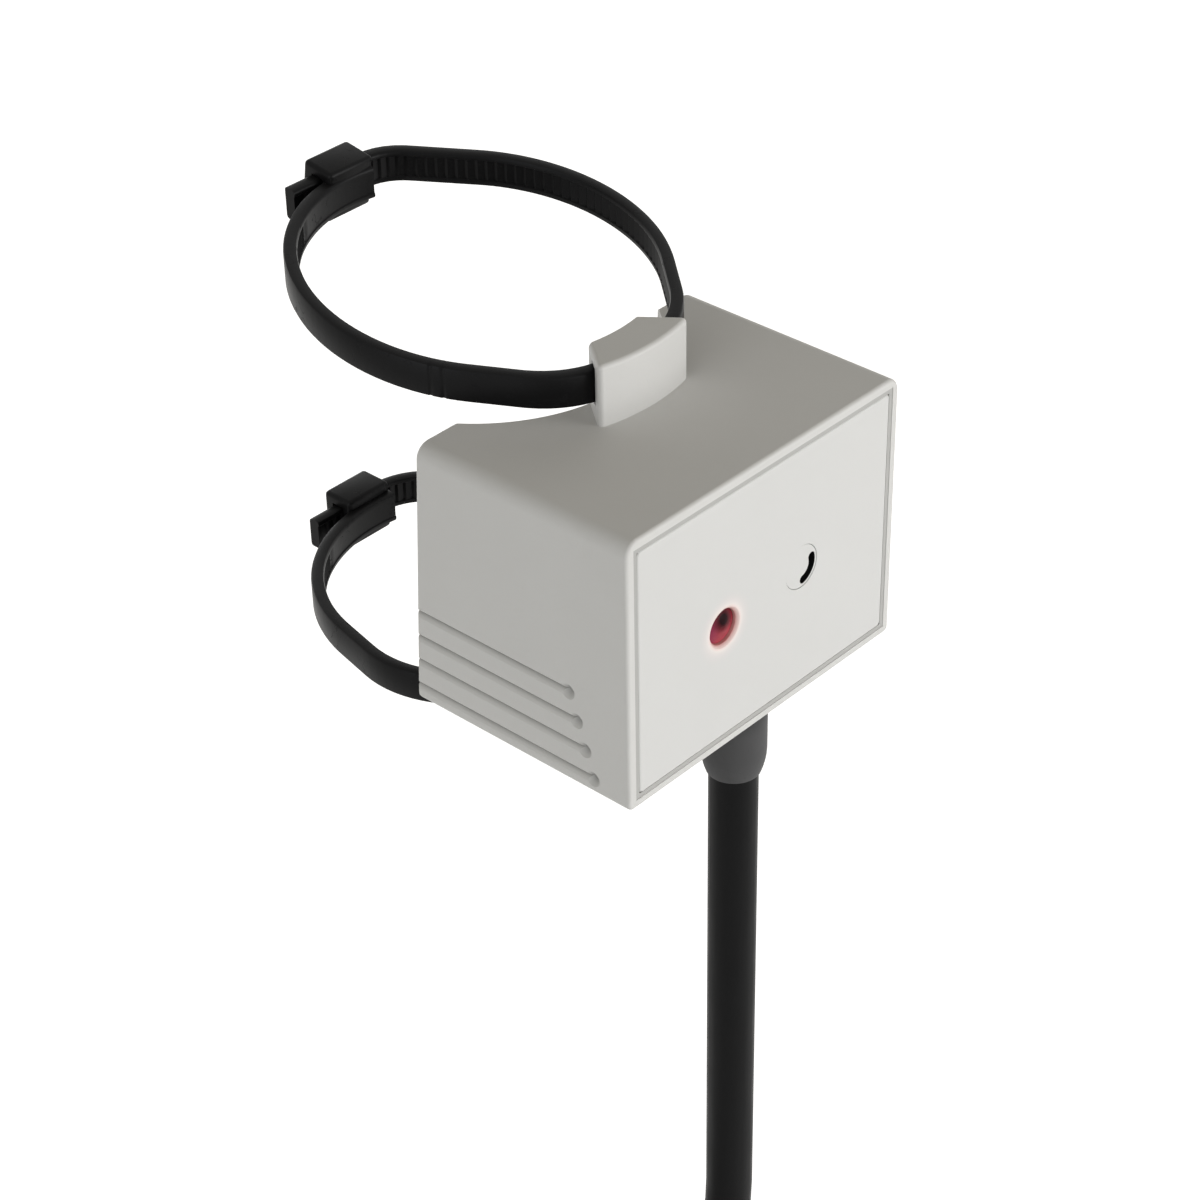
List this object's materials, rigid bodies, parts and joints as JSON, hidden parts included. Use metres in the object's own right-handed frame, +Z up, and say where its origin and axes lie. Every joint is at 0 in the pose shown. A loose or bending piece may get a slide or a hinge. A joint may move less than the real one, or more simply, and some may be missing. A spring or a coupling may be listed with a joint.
{
  "type": "capacitive level sensor",
  "caption": "Box-shaped capacitive level sensor that two black ties strap to a pipe, with a lamp, a sensitivity adjuster and a cable.",
  "frame": {"origin": "on the axis of the pipe that the cradle fits, at half the housing's height", "axes": "+Z up along the pipe's axis, away from the cable; -Y the flat front with the lamp and the adjuster; +X to the right of that front"},
  "size_m": [0.0501, 0.0461, 0.1601],
  "materials": {
    "housing": "satin",
    "cover": "satin",
    "rotor": "satin",
    "lens": "gloss",
    "strap": "satin",
    "jacket": "satin",
    "relief": "matt",
    "seal": "matt",
    "board": "satin",
    "package": "matt",
    "passive": "satin",
    "trimmer": "satin",
    "copper": "satin",
    "carrier": "satin",
    "core_brown": "satin",
    "core_black": "satin",
    "core_blue": "satin"
  },
  "bodies": {
    "housing": {"housing_shell": "housing", "front_cover": "cover", "cover_gasket": "seal", "lamp_lens": "lens", "adjuster_seal": "seal", "trimmer_body": "trimmer", "main_board": "board", "status_lamp": "carrier", "controller_chip": "package", "voltage_regulator": "package", "output_transistor": "package", "board_capacitors": "passive", "board_resistors": "package", "sense_electrode": "copper", "electrode_carrier": "carrier", "guard_electrode": "copper", "sense_pin": "copper", "guard_pin": "copper", "strain_relief": "relief", "cable_lead": "jacket", "cable_coil": "jacket", "cable_tail": "jacket", "coil_tie": "strap", "core_brown": "core_brown", "core_black": "core_black", "core_blue": "core_blue", "wire_brown": "core_brown", "wire_black": "core_black", "wire_blue": "core_blue", "upper_strap": "strap", "lower_strap": "strap"},
    "adjuster": {"adjuster_rotor": "rotor"}
  },
  "joints": [
    {"name": "adjuster_turn", "type": "hinge", "parent": "housing", "child": "adjuster", "pos_m": [0.00385, -0.0267, 0.0001], "axis": [0, -1, 0], "range_deg": [-105, 105]}
  ]
}
